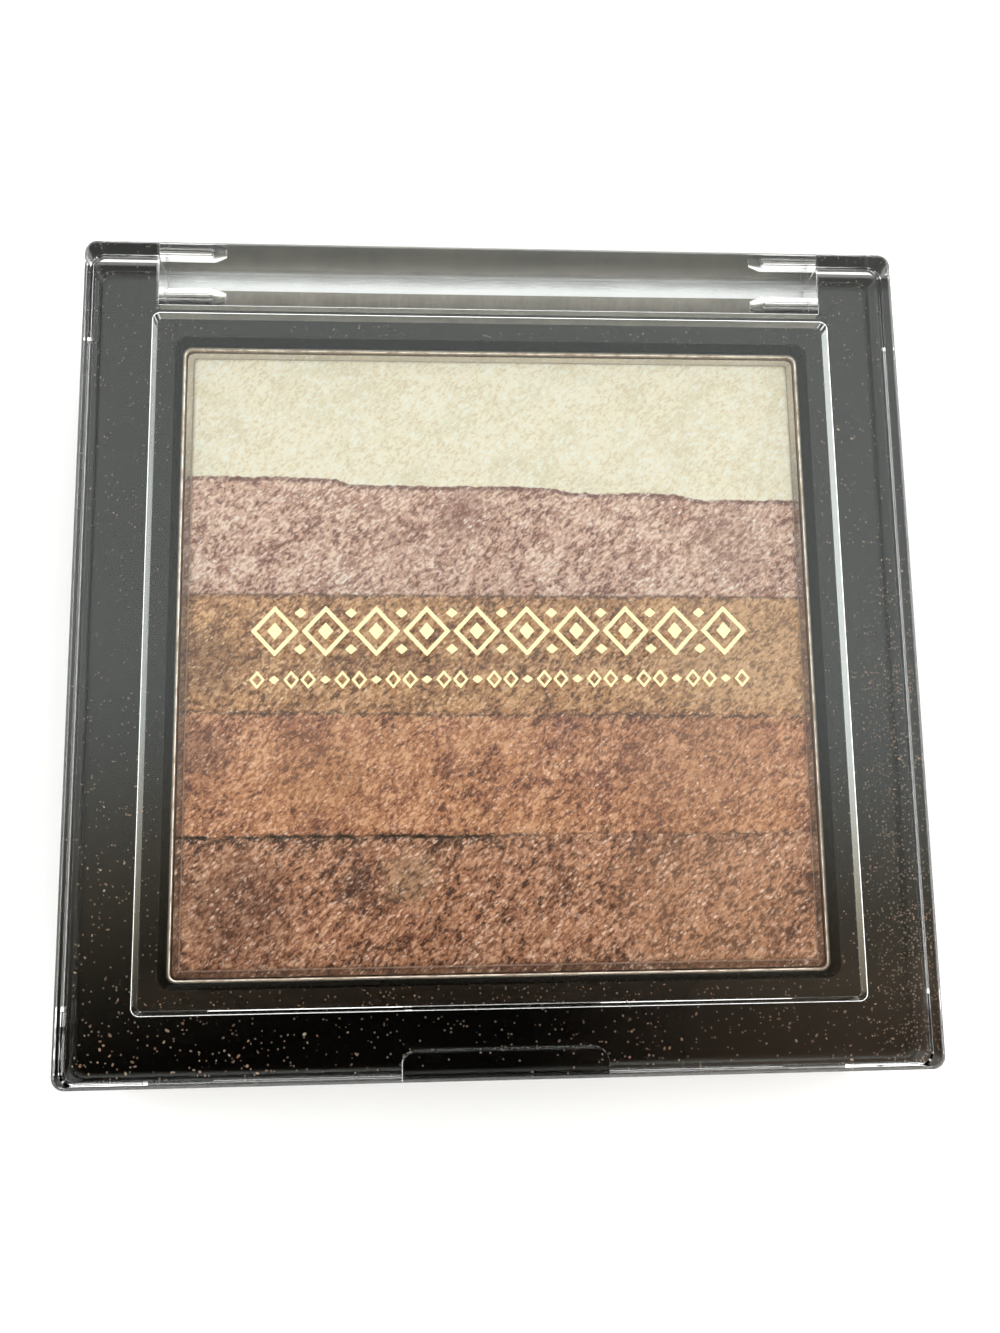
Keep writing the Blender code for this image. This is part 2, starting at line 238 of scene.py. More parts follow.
def makeDustGroup():
    # Fine dust: clouds that gather where Amount says, and single specks
    group, given, out = newGroup("powderDust", [("Place", "Vector", None), ("Amount", "Float", 0.2)],
                                 [("Dust", "Float"), ("Specks", "Float")])
    clouds = ramp(group, noiseValue(group, given["Place"], dustLook["cloudSize"], 5.0, 0.6), 0.42, 0.75)
    cells = addNode(group, "ShaderNodeTexVoronoi", None,
                    {"Vector": given["Place"], "Scale": dustLook["speckScale"]})
    tone = addNode(group, "ShaderNodeSeparateColor", None, {0: cells.outputs["Color"]})
    dot = ramp(group, cells.outputs["Distance"], dustLook["speckEdge"], dustLook["speckMiddle"])
    share = maths(group, "MULTIPLY", given["Amount"], dustLook["speckShare"])
    kept = maths(group, "LESS_THAN", tone.outputs[0], share)
    group.links.new(maths(group, "MULTIPLY", clouds, given["Amount"], True), out["Dust"])
    group.links.new(maths(group, "MULTIPLY", dot, kept), out["Specks"])
    return group


scuffLook = {
    "lines": ((0.4, 0.6 * mm), (-1.1, 0.9 * mm)),    # direction and spacing of each set of marks
    "stretch": 0.035,
    "patchSize": 9.0 * mm,
}


def makeScuffGroup():
    # Hairline handling marks in two directions, as a roughness mask
    group, given, out = newGroup("handlingScuffs", [("Place", "Vector", None), ("Amount", "Float", 0.3)],
                                 [("Scuff", "Float")])
    lines = None
    for angle, size in scuffLook["lines"]:
        laid = turned(group, given["Place"], (0, 0, angle), (scuffLook["stretch"], 1.0, 1.0))
        streak = ramp(group, noiseValue(group, laid, size, 2.0, 0.7), 0.62, 0.74)
        lines = streak if lines is None else maths(group, "MAXIMUM", lines, streak)
    patches = ramp(group, noiseValue(group, given["Place"], scuffLook["patchSize"], 2.0), 0.4, 0.7)
    marked = maths(group, "MULTIPLY", lines, patches)
    group.links.new(maths(group, "MULTIPLY", marked, given["Amount"], True), out["Scuff"])
    return group


grainGroup = makeGrainGroup()
flakeGroup = makeFlakeGroup()
seamGroup = makeSeamGroup()
dustGroup = makeDustGroup()
scuffGroup = makeScuffGroup()
print("shared effects ready")


# Finishes

blackPlastic = {
    "colour": (0.0018, 0.0016, 0.0013, 1.0),
    "dustColour": (0.20, 0.135, 0.09, 1.0),
    "ior": 1.5,
    "roughness": 0.08,
    "scuffs": 0.5,
    "scuffRoughness": 0.16,
    "dustRoughness": 0.6,
    "dustAmount": 0.16,
    "cloudShade": 0.02,
    "speckShade": 0.75,
    "speckDepth": 0.02 * mm,
    # A thin brown haze at the front right and on the plateau's front; a pair is where it starts and is full
    "frontDust": 0.13,
    "cornerX": (0.0, 22.0 * mm),
    "cornerY": (-20.0 * mm, -27.0 * mm),
    "plateauZ": (8.8 * mm, 9.1 * mm),
    "plateauY": (-23.0 * mm, -26.0 * mm),
    "plateauShare": 0.65,
    # Brown dust along the right border
    "sideDust": 0.75,
    "sideX": (28.2 * mm, 30.0 * mm),
    "sideY": (9.0 * mm, -2.0 * mm),
}


def makeBlackPlastic():
    look = blackPlastic
    material, tree, shader, place = newMaterial("blackPlastic", {"IOR": look["ior"]})
    x, y, z = addNode(tree, "ShaderNodeSeparateXYZ", None, {0: place}).outputs
    rightSide = maths(tree, "MULTIPLY", ramp(tree, x, *look["sideX"]), ramp(tree, y, *look["sideY"]))
    amount = maths(tree, "ADD", maths(tree, "MULTIPLY", rightSide, look["sideDust"]), look["dustAmount"])
    frontCorner = maths(tree, "MULTIPLY", ramp(tree, x, *look["cornerX"]), ramp(tree, y, *look["cornerY"]))
    plateauFront = maths(tree, "MULTIPLY", ramp(tree, z, *look["plateauZ"]),
                         ramp(tree, y, *look["plateauY"], 0.0, look["plateauShare"]))
    haze = maths(tree, "MULTIPLY", maths(tree, "MAXIMUM", frontCorner, plateauFront), look["frontDust"])
    dust = useGroup(tree, dustGroup, {"Place": place, "Amount": amount})
    scuff = useGroup(tree, scuffGroup, {"Place": place, "Amount": look["scuffs"]})
    film = maths(tree, "ADD", maths(tree, "MULTIPLY", dust["Dust"], look["cloudShade"]), haze)
    specks = maths(tree, "MULTIPLY", dust["Specks"], look["speckShade"])
    shown = maths(tree, "MAXIMUM", film, specks)
    colour = mixColour(tree, shown, look["colour"], look["dustColour"])
    tree.links.new(colour, shader.inputs["Base Color"])
    worn = maths(tree, "MULTIPLY", scuff["Scuff"], look["scuffRoughness"])
    worn = maths(tree, "ADD", worn, look["roughness"])
    rough = maths(tree, "ADD", worn, maths(tree, "MULTIPLY", shown, look["dustRoughness"]), True)
    tree.links.new(rough, shader.inputs["Roughness"])
    bumpFrom(tree, shader, dust["Specks"], look["speckDepth"], 0.5)
    return material


clearPlastic = {"colour": (0.985, 0.993, 0.985, 1.0), "ior": 1.5, "scuffs": 0.6, "scuffRoughness": 0.05}


def makeClearPlastic():
    look = clearPlastic
    material, tree, shader, place = newMaterial(
        "clearPlastic", {"Transmission Weight": 1.0, "IOR": look["ior"], "Base Color": look["colour"]})
    scuff = useGroup(tree, scuffGroup, {"Place": place, "Amount": look["scuffs"]})
    rough = maths(tree, "MULTIPLY", scuff["Scuff"], look["scuffRoughness"])
    tree.links.new(rough, shader.inputs["Roughness"])
    return material


# Frosted faces of the clear lid: dusty ones, whose dark brown tint is partly dust and partly painted shade,
# and pale ones
heelDustAndShade = {"colour": (0.20, 0.18, 0.135, 1.0), "dark": (0.05, 0.045, 0.033, 1.0), "roughness": 0.75}
heelShine = {"colour": (0.97, 1.0, 0.99, 1.0), "dark": (0.90, 0.95, 0.94, 1.0), "roughness": 0.65}
heelFrost = {"streakSize": 0.4 * mm, "stretch": (1.0, 0.3, 0.3), "cloudSize": 3.0 * mm, "depth": 0.01 * mm}


def makeHeelCoat(name, look):
    # Powder and rubbing, in streaks across the hinge axis; in the dusty coat the dark tint also stands as
    # painted shade
    material, tree, shader, place = newMaterial(
        name, {"IOR": clearPlastic["ior"], "Transmission Weight": 1.0})
    drawn = turned(tree, place, stretch=heelFrost["stretch"])
    streaks = noiseValue(tree, drawn, heelFrost["streakSize"], 4.0, 0.7)
    clouds = noiseValue(tree, place, heelFrost["cloudSize"], 4.0, 0.6)
    both = maths(tree, "MULTIPLY", ramp(tree, streaks, 0.3, 0.7, 0.3, 1.0),
                 ramp(tree, clouds, 0.35, 0.7, 0.4, 1.0))
    tree.links.new(mixColour(tree, both, look["dark"], look["colour"]), shader.inputs["Base Color"])
    rough = ramp(tree, both, 0.0, 1.0, look["roughness"] * 0.8, look["roughness"])
    tree.links.new(rough, shader.inputs["Roughness"])
    bumpFrom(tree, shader, streaks, heelFrost["depth"], 0.5)
    return material


powderFinishes = {
    # Colours of the body, the painted shade in hollows, the painted highlight on raised grains, mottles and
    # the flakes' painted glint; grain and flake sizes in mm; share of flakes; patches of another tone: x, y
    # and reach in mm, colour and strength. The wide patches near the left and right edges are painted light,
    # lighter on the right and darker on the left
    "shade_cream": {
        "slot": "cream_powder", "colour": (252, 243, 216), "dark": (232, 219, 187), "light": (254, 252, 236),
        "mottle": (236, 228, 198), "flakeGlint": (255, 254, 246), "grain": 0.22, "flakeSize": 0.13, "share": 0.16,
        "patches": []},
    "shade_pink": {
        "slot": "pink_powder", "colour": (214, 172, 150), "dark": (130, 82, 66), "light": (246, 220, 202),
        "mottle": (180, 130, 110), "flakeGlint": (255, 248, 238), "grain": 0.27, "flakeSize": 0.2, "share": 0.36,
        "patches": [(-3.0, 11.0, 3.0, (150, 98, 82), 0.5), (19.0, 9.0, 5.0, (206, 172, 152), 0.4)]},
    "shade_gold": {
        "slot": "gold_powder", "colour": (198, 144, 96), "dark": (108, 66, 38), "light": (234, 190, 144),
        "mottle": (164, 114, 76), "flakeGlint": (255, 232, 198), "grain": 0.25, "flakeSize": 0.15, "share": 0.26,
        "patches": [(-22.5, -1.0, 4.0, (128, 88, 58), 0.55), (19.0, 0.0, 8.0, (218, 176, 134), 0.65)]},
    "shade_copper": {
        "slot": "copper_powder", "colour": (192, 130, 90), "dark": (106, 58, 40), "light": (232, 178, 138),
        "mottle": (158, 98, 74), "flakeGlint": (255, 226, 200), "grain": 0.25, "flakeSize": 0.16, "share": 0.26,
        "patches": [(-14.0, -9.5, 4.5, (192, 136, 92), 0.45), (-23.0, -8.0, 3.0, (128, 84, 64), 0.5),
                    (16.0, -10.0, 8.0, (192, 138, 100), 0.4)]},
    "shade_bronze": {
        "slot": "bronze_powder", "colour": (174, 118, 86), "dark": (74, 40, 28), "light": (224, 172, 138),
        "mottle": (126, 80, 58), "flakeGlint": (255, 224, 202), "grain": 0.27, "flakeSize": 0.22, "share": 0.36,
        "patches": [(-7.0, -17.9, 2.6, (178, 142, 110), 0.6), (-11.2, -18.2, 1.8, (76, 46, 36), 0.6),
                    (-20.0, -20.0, 6.0, (118, 76, 58), 0.6), (16.0, -20.0, 9.0, (206, 152, 116), 0.55)]},
}
powderLook = {
    "ior": 1.45,
    "specular": 0.3,
    "roughness": 0.5,
    "flakeRoughness": 0.25,
    "reliefShares": {"Grain": 0.52, "Folds": 0.3, "Patches": 0.18},
    "reliefDepth": 0.06 * mm,
    "flakeHeight": 0.3,
    "mottleSize": 3.4 * mm,
    "clusterSize": 2.2 * mm,
    "patchWander": 3.0 * mm,
    "patchWanderSize": 1.4 * mm,
    "smallFlake": 0.6,          # against the large flakes' size
    "smallFlakeShare": 1.4,
    "smallFlakeSlant": -1.0,
    "seamFadeX": (6 * mm, -3 * mm),
    "ledgeY": (12 * mm, 21 * mm),    # where the ledge turns from its front tone to its back tone
    # Ledge colours are painted shade and edge colours a painted highlight on the crown's edge
    "ledgeFront": (88, 62, 47),
    "ledgeBack": (208, 194, 172),
    "edgeFront": (206, 174, 158),
    "edgeBack": (150, 136, 112),
    "ledgeShare": 0.6,
}

# Seams from the back of the pan to the front: where, how they slope, their steps (x, drop), and how the
# colours meet, with the painted shade of the crack line and the painted shadow in front of it; lengths in mm
seams = [
    {"back": "shade_cream", "front": "shade_pink", "y": 13.75, "slope": -0.0100, "wave": 0.2,
     "steps": [(-12.4, 0.5), (4.6, 0.4), (15.6, 0.45)], "spill": 0.03, "ragged": 0.06, "groove": 0.05,
     "lineAt": -0.16, "lineWidth": 0.26, "line": 0.75, "shadow": 0.7, "shade": (112, 64, 52),
     "fadeRight": 0.0},
    {"back": "shade_pink", "front": "shade_gold", "y": 4.27, "slope": -0.0062, "wave": 0.07, "steps": [],
     "spill": 0.1, "ragged": 0.08, "groove": 0.1, "lineAt": 0.0, "lineWidth": 0.16, "line": 0.6,
     "shadow": 0.5, "shade": (92, 58, 44), "fadeRight": 0.0},
    {"back": "shade_gold", "front": "shade_copper", "y": -5.2, "slope": -0.0126, "wave": 0.2, "steps": [],
     "spill": 0.6, "ragged": 0.4, "groove": 0.05, "lineAt": 0.0, "lineWidth": 0.14, "line": 0.75,
     "shadow": 0.4, "shade": (66, 40, 30), "fadeRight": 0.0},
    {"back": "shade_copper", "front": "shade_bronze", "y": -14.6, "slope": -0.0034, "wave": 0.14,
     "steps": [], "spill": 0.25, "ragged": 0.22, "groove": 0.28, "lineAt": 0.0, "lineWidth": 0.26,
     "line": 0.95, "shadow": 1.4, "shade": (36, 20, 15), "fadeRight": 0.6},
]
powder = {
    "cell": 0.16 * mm,
    "ledgeWidth": 0.52 * mm,
    "crownRise": 0.3 * mm,
    "crownEdge": 0.16 * mm,
    "cornerRadius": 0.5 * mm,
    "crownCorner": 0.5 * mm,
    "grainDepth": 0.035 * mm,
    "waveDepth": 0.05 * mm,
    "grooveReach": 0.11,     # half the width of a seam's groove, in mm
    # Waves to a mm, and the finer grain's share
    "grain": 3.3,
    "fineGrain": 6.1,
    "fineShare": 0.7,
    "wave": 0.55,
    "grooveFade": 0.16,
    "sharpAngle": 60,
}
layReach = 4.0 * mm    # full scale of the "lay" attribute: distances to the seams and to the pan's wall


def linear(rgb):
    parts = [value / 255 for value in rgb]
    return [part / 12.92 if part <= 0.04045 else ((part + 0.055) / 1.055) ** 2.4 for part in parts]


def powderColour(rgb):
    return (*linear(rgb), 1.0)


def makePowder(name):
    look = powderFinishes[name]
    material, tree, shader, place = newMaterial(
        name.replace("shade_", "") + "Powder",
        {"IOR": powderLook["ior"], "Specular IOR Level": powderLook["specular"]})
    grain = useGroup(tree, grainGroup, {"Place": place, "Size": look["grain"] * mm})
    x, y = addNode(tree, "ShaderNodeSeparateXYZ", None, {0: place}).outputs[:2]
    lay = addNode(tree, "ShaderNodeVertexColor", {"layer_name": "lay"}).outputs["Color"]
    parts = addNode(tree, "ShaderNodeSeparateColor", None, {0: lay}).outputs
    fromBack, fromFront, fromWall = [maths(tree, "MULTIPLY", part, layReach) for part in parts]

    raised = None
    for label, share in powderLook["reliefShares"].items():
        layer = maths(tree, "MULTIPLY", grain[label], share)
        raised = layer if raised is None else maths(tree, "ADD", raised, layer)
    hue = ramp(tree, noiseValue(tree, place, powderLook["mottleSize"], 4.0, 0.6), 0.44, 0.66, 0.0, 0.75)

    def shadedBandColour(band):
        finish = powderFinishes[band]
        # Hollows get the dark colour as painted shade, and raised grains the light colour as a painted
        # highlight
        middle = mixColour(tree, hue, powderColour(finish["colour"]), powderColour(finish["mottle"]))
        below = mixColour(tree, ramp(tree, raised, 0.1, 0.48), powderColour(finish["dark"]), middle)
        return mixColour(tree, ramp(tree, raised, 0.52, 0.9), below, powderColour(finish["light"]))

    # Broad patches, with an uneven outline and painted shade in their hollows; the wide ones near the sides
    # are painted light
    colour = shadedBandColour(name)
    uneven = noiseValue(tree, place, powderLook["patchWanderSize"], 4.0, 0.6)
    wander = maths(tree, "MULTIPLY", maths(tree, "SUBTRACT", uneven, 0.5), powderLook["patchWander"])
    for patchX, patchY, reach, tone, strength in look["patches"]:
        apart = addNode(tree, "ShaderNodeVectorMath", {"operation": "DISTANCE"},
                        {0: place, 1: (patchX * mm, patchY * mm, powderHigh.z)}).outputs["Value"]
        mask = ramp(tree, maths(tree, "ADD", apart, wander), reach * mm, reach * 0.3 * mm, 0.0, strength)
        colour = mixColour(tree, mask, colour, powderColour(tone))
        paintedHollowShade = maths(tree, "MULTIPLY", mask, ramp(tree, raised, 0.55, 0.2))
        colour = mixColour(tree, paintedHollowShade, colour, powderColour(look["dark"]))

    # The next band's colour spills over each seam, which is a broken dark line of painted shade in the crack
    for seam in seams:
        if name not in (seam["back"], seam["front"]):
            continue
        isBack = name == seam["back"]
        away = fromFront if isBack else maths(tree, "MULTIPLY", fromBack, -1.0)
        met = useGroup(tree, seamGroup, {"Place": place, "Away": away, "Spill": seam["spill"] * mm,
                                         "Ragged": seam["ragged"] * mm, "LineAt": seam["lineAt"] * mm,
                                         "LineWidth": seam["lineWidth"] * mm})
        share = maths(tree, "SUBTRACT", 1.0, met["Past"]) if isBack else met["Past"]
        colour = mixColour(tree, share, colour, shadedBandColour(seam["front"] if isBack else seam["back"]))
        shade = powderColour(seam["shade"])
        fade = ramp(tree, x, *powderLook["seamFadeX"], 1.0 - seam["fadeRight"], 1.0)
        if not isBack:
            # A broken dark band just in front of the seam: a painted shadow
            near = ramp(tree, fromBack, seam["shadow"] * mm, 0.0)
            seamPaintedShadow = maths(tree, "MULTIPLY", near, ramp(tree, raised, 0.75, 0.3, 0.15, 0.75))
            colour = mixColour(tree, maths(tree, "MULTIPLY", seamPaintedShadow, fade), colour, shade)
        # The seam's dark line: painted shade in the crack
        dark = maths(tree, "MULTIPLY", maths(tree, "MULTIPLY", met["Line"], seam["line"]), fade)
        colour = mixColour(tree, dark, colour, shade)

    # The ledge round the crown in painted shade, darker at the front and lighter at the back, and a painted
    # highlight along the crown's edge
    width = powder["ledgeWidth"]
    back = ramp(tree, y, *powderLook["ledgeY"])
    ledgeShadeTone, edgeHighlightTone = [mixColour(tree, back, powderColour(powderLook[part + "Front"]),
                                     powderColour(powderLook[part + "Back"])) for part in ("ledge", "edge")]
    ledge = ramp(tree, fromWall, width + 0.04 * mm, width - 0.06 * mm, 0.0, powderLook["ledgeShare"])
    colour = mixColour(tree, ledge, colour, ledgeShadeTone)
    beside = maths(tree, "ABSOLUTE", maths(tree, "SUBTRACT", fromWall, width))
    edge = ramp(tree, beside, 0.11 * mm, 0.02 * mm, 0.0, powderLook["ledgeShare"])
    colour = mixColour(tree, edge, colour, edgeHighlightTone)

    # Shimmer flakes, in clusters on the raised grains, painted near white as painted glints
    large = useGroup(tree, flakeGroup, {"Place": place, "Size": look["flakeSize"] * mm,
                                        "Share": look["share"]})
    small = useGroup(tree, flakeGroup, {"Place": place,
                                        "Size": look["flakeSize"] * powderLook["smallFlake"] * mm,
                                        "Share": look["share"] * powderLook["smallFlakeShare"],
                                        "Slant": powderLook["smallFlakeSlant"]})
    largeGlint = maths(tree, "MULTIPLY", large["Flake"], ramp(tree, large["Tone"], 0.0, 1.0, 0.2, 1.0))
    glint = maths(tree, "MULTIPLY", small["Flake"], ramp(tree, small["Tone"], 0.3, 1.0, 0.0, 0.7))
    clusters = ramp(tree, noiseValue(tree, place, powderLook["clusterSize"], 3.0, 0.6), 0.38, 0.62, 0.45, 1.0)
    onTop = maths(tree, "MULTIPLY", ramp(tree, raised, 0.2, 0.6, 0.3, 1.0), clusters)
    glintingFlakes = maths(tree, "MULTIPLY", maths(tree, "MAXIMUM", largeGlint, glint), onTop)
    tree.links.new(mixColour(tree, glintingFlakes, colour, powderColour(look["flakeGlint"])), shader.inputs["Base Color"])
    rough = ramp(tree, glintingFlakes, 0.0, 1.0, powderLook["roughness"], powderLook["flakeRoughness"])
    tree.links.new(rough, shader.inputs["Roughness"])
    height = maths(tree, "ADD", raised, maths(tree, "MULTIPLY", glintingFlakes, powderLook["flakeHeight"]))
    bumpFrom(tree, shader, height, powderLook["reliefDepth"], 0.6)
    return material


plainFinishes = {
    # Each: the shader's own values; a noise's size, detail and roughness, its stretch or contrast; the two
    # colours that it mixes; its limits and the roughness at them; depth and strength of the relief
    "panMetal": {
        "shader": {"Metallic": 1.0}, "noise": (1.2 * mm, 5.0, 0.7), "contrast": (0.35, 0.7),
        "colours": ((0.84, 0.76, 0.66, 1.0), (0.58, 0.46, 0.36, 1.0)),
        "roughness": (0.0, 1.0, 0.28, 0.6), "relief": (0.01 * mm, 0.5)},
    "pinSteel": {
        "shader": {"Metallic": 1.0}, "noise": (0.1 * mm, 3.0, 0.5), "stretch": (0.03, 1.0, 1.0),
        "colours": ((0.80, 0.79, 0.80, 1.0), (0.50, 0.48, 0.47, 1.0)),
        "roughness": (0.3, 0.7, 0.16, 0.34), "relief": (0.004 * mm, 0.5)},
    "labelFilm": {
        "shader": {"IOR": 1.45}, "noise": (0.4 * mm, 4.0, 0.6), "scuffs": 0.8,
        "colours": ((0.80, 0.80, 0.81, 1.0), (0.70, 0.70, 0.72, 1.0)),
        "roughness": (0.0, 1.0, 0.38, 0.65), "relief": (0.006 * mm, 0.4)},
    "adhesiveSheet": {
        "shader": {"IOR": 1.47}, "noise": (0.3 * mm, 3.0, 0.7),
        "colours": ((0.78, 0.76, 0.70, 1.0), (0.62, 0.60, 0.54, 1.0)),
        "roughness": (0.3, 0.7, 0.5, 0.75), "relief": (0.03 * mm, 0.6)},
    "goldFoil": {
        "shader": {"IOR": 1.5}, "noise": (0.5 * mm, 4.0, 0.6),
        "colours": ((0.80, 0.70, 0.38, 1.0), (0.74, 0.62, 0.31, 1.0)),
        "roughness": (0.3, 0.7, 0.25, 0.45), "relief": (0.002 * mm, 0.4)},
}


def makePlain(name):
    look = plainFinishes[name]
    material, tree, shader, place = newMaterial(name, look["shader"])
    if "stretch" in look:
        place = turned(tree, place, stretch=look["stretch"])
    pattern = noiseValue(tree, place, *look["noise"])
    if "contrast" in look:
        pattern = ramp(tree, pattern, *look["contrast"])
    tree.links.new(mixColour(tree, pattern, *look["colours"]), shader.inputs["Base Color"])
    marks = pattern
    if "scuffs" in look:
        marks = useGroup(tree, scuffGroup, {"Place": place, "Amount": look["scuffs"]})["Scuff"]
    tree.links.new(ramp(tree, marks, *look["roughness"]), shader.inputs["Roughness"])
    bumpFrom(tree, shader, pattern, *look["relief"])
    return material


crumbLook = {"ior": 1.45, "dirt": (0.12, 0.06, 0.035, 1.0), "dirtShare": 0.5, "gritSize": 0.06 * mm}


def makeCrumbPowder():
    material, tree, shader, place = newMaterial("crumbPowder", {"IOR": crumbLook["ior"]})
    tint = addNode(tree, "ShaderNodeVertexColor", {"layer_name": "tint"}).outputs["Color"]
    grit = noiseValue(tree, place, crumbLook["gritSize"])
    dirty = maths(tree, "MULTIPLY", grit, crumbLook["dirtShare"])
    tree.links.new(mixColour(tree, dirty, tint, crumbLook["dirt"]), shader.inputs["Base Color"])
    tree.links.new(ramp(tree, grit, 0.3, 0.7, 0.3, 0.6), shader.inputs["Roughness"])
    return material


black = makeBlackPlastic()
clear = makeClearPlastic()
dustyShadedHeel = makeHeelCoat("heelDustAndShade", heelDustAndShade)
paleHeel = makeHeelCoat("heelShine", heelShine)
powders = {name: makePowder(name) for name in powderFinishes}
plain = {name: makePlain(name) for name in plainFinishes}
crumbPowder = makeCrumbPowder()
print("finishes ready")


# Mesh helpers

def addPiece(name, bm, material, body, slotName, *replaced):
    mesh = bpy.data.meshes.new(name)
    bm.to_mesh(mesh)
    bm.free()
    mesh.shade_smooth()
    mesh.materials.append(material)
    piece = bpy.data.objects.new(name, mesh)
    scene.collection.objects.link(piece)
    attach(piece, body)
    if replaced:
        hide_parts(*replaced)
    return piece


def bevelEdges(bm, edges, radius, steps):
    bmesh.ops.bevel(bm, geom=edges, offset=radius, segments=steps, profile=0.5, affect="EDGES", material=-1)


def block(low, high, corner=0.0, topEdge=0.0, bottomEdge=0.0, cornerSteps=12, edgeSteps=5):
    low = Vector(low)
    high = Vector(high)
    size = high - low
    bm = bmesh.new()
    place = Matrix.Translation((low + high) / 2) @ Matrix.Diagonal((*size, 1.0))
    bmesh.ops.create_cube(bm, size=1.0, matrix=place)
    if corner:
        upright = [e for e in bm.edges if abs(e.verts[0].co.z - e.verts[1].co.z) > size.z / 2]
        bevelEdges(bm, upright, corner, cornerSteps)
    for height, radius in ((high.z, topEdge), (low.z, bottomEdge)):
        if radius:
            level = [e for e in bm.edges if all(abs(v.co.z - height) < radius / 10 for v in e.verts)]
            bevelEdges(bm, level, radius, edgeSteps)
    return bm


def lathe(profile, centre, steps=40):
    # A profile of (x, radius) from axis to axis, turned about X
    bm = bmesh.new()
    verts = [bm.verts.new((x, 0, radius)) for x, radius in profile]
    edges = [bm.edges.new(pair) for pair in zip(verts, verts[1:])]
    bmesh.ops.spin(bm, geom=verts + edges, cent=(0, 0, 0), axis=(1, 0, 0), angle=math.tau, steps=steps,
                   use_merge=True)
    bmesh.ops.remove_doubles(bm, verts=bm.verts, dist=1e-7)
    bmesh.ops.recalc_face_normals(bm, faces=bm.faces)
    bmesh.ops.translate(bm, verts=bm.verts, vec=centre)
    return bm


def combined(bm, joins=(), cuts=()):
    # Boolean result of bm with the joined and cut shapes, as a new bmesh
    def spare(shape):
        mesh = bpy.data.meshes.new("spare")
        shape.to_mesh(mesh)
        shape.free()
        made = bpy.data.objects.new("spare", mesh)
        scene.collection.objects.link(made)
        return made

    target = spare(bm)
    tools = []
    for operation, shapes in (("UNION", joins), ("DIFFERENCE", cuts)):
        for shape in shapes:
            tools.append(spare(shape))
            step = target.modifiers.new("step", "BOOLEAN")
            step.operation = operation
            step.solver = "EXACT"
            step.object = tools[-1]
    done = bpy.data.meshes.new_from_object(target.evaluated_get(bpy.context.evaluated_depsgraph_get()))
    result = bmesh.new()
    result.from_mesh(done)
    for made in (target, *tools):
        shape = made.data
        bpy.data.objects.remove(made)
        bpy.data.meshes.remove(shape)
    bpy.data.meshes.remove(done)
    return result


def softenEdges(piece, width, steps=3, angle=35):
    bevel = piece.modifiers.new("softEdges", "BEVEL")
    bevel.width = width
    bevel.segments = steps
    bevel.limit_method = "ANGLE"
    bevel.angle_limit = math.radians(angle)
    bevel.miter_outer = "MITER_ARC"
    normals = piece.modifiers.new("flatNormals", "WEIGHTED_NORMAL")
    normals.keep_sharp = True
    normals.weight = 80


# Clear lid: slab, pocket, thumb notch, hinge leg, snap bead, bores for the pins

lid = {
    "slabBottom": 7.15 * mm,
    "caseCorner": 1.0 * mm,
    "topEdge": 0.4 * mm,
    "footEdge": 0.22 * mm,
    "pocketHalfX": 27.35 * mm,
    "pocketHalfY": 27.2 * mm,
    "pocketTop": 9.8 * mm,
    "pocketCorner": 0.65 * mm,
    "pocketEdge": 0.12 * mm,
    "notchHalfX": 7.7 * mm,
    "notchReach": 1.9 * mm,
    "notchTop": 8.55 * mm,
    "notchCorner": 1.0 * mm,
    # Beyond notchClearTo the notch's faces are painted black, a painted shade over the clear plastic
    "notchClearTo": -6.9 * mm,    # the notch's faces are clear to the left of this, and black beyond it
    "legHalfX": 27.2 * mm,
    "beadHalfX": 22.0 * mm,
    "beadRadius": 0.45 * mm,
    "beadZ": 8.1 * mm,
    "boreRadius": 0.83 * mm,
    "boreReach": 5.0 * mm,
    "boreTipLength": 1.0 * mm,
    "boreTipRadius": 0.4 * mm,
    "softEdge": 0.06 * mm,
    "paleFrom": 1.22 * mm,    # behind the hinge line, the heel is paler
}


